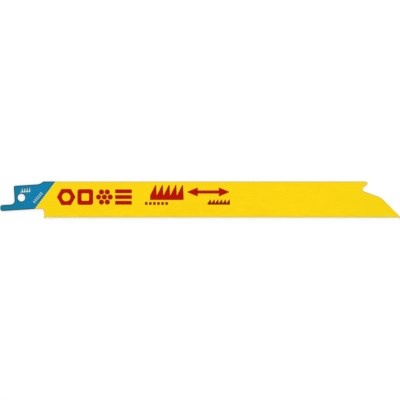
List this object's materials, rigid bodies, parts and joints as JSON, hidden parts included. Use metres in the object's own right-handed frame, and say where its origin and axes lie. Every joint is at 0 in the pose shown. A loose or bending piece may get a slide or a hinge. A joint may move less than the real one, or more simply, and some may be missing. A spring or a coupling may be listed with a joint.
{
  "type": "reciprocating saw blade",
  "caption": "Long flat metal-cutting saw blade with a wavy-set row of fine teeth, a canted tang with a pin hole and prong, and a notched, slanted tip.",
  "frame": {"origin": "centre of the tang's pin hole, halfway through the strip's thickness", "axes": "+X along the back edge to the tip, +Y across the blade from the teeth to the back, +Z out of the printed flat side; the blade lies flat on the XY plane"},
  "size_m": [0.2032, 0.0187, 0.0014],
  "materials": {
    "yellow_paint": "satin",
    "blue_paint": "satin",
    "red_ink": "satin",
    "pale_ink": "satin"
  },
  "bodies": {
    "root": {"blade": "yellow_paint"}
  },
  "joints": []
}
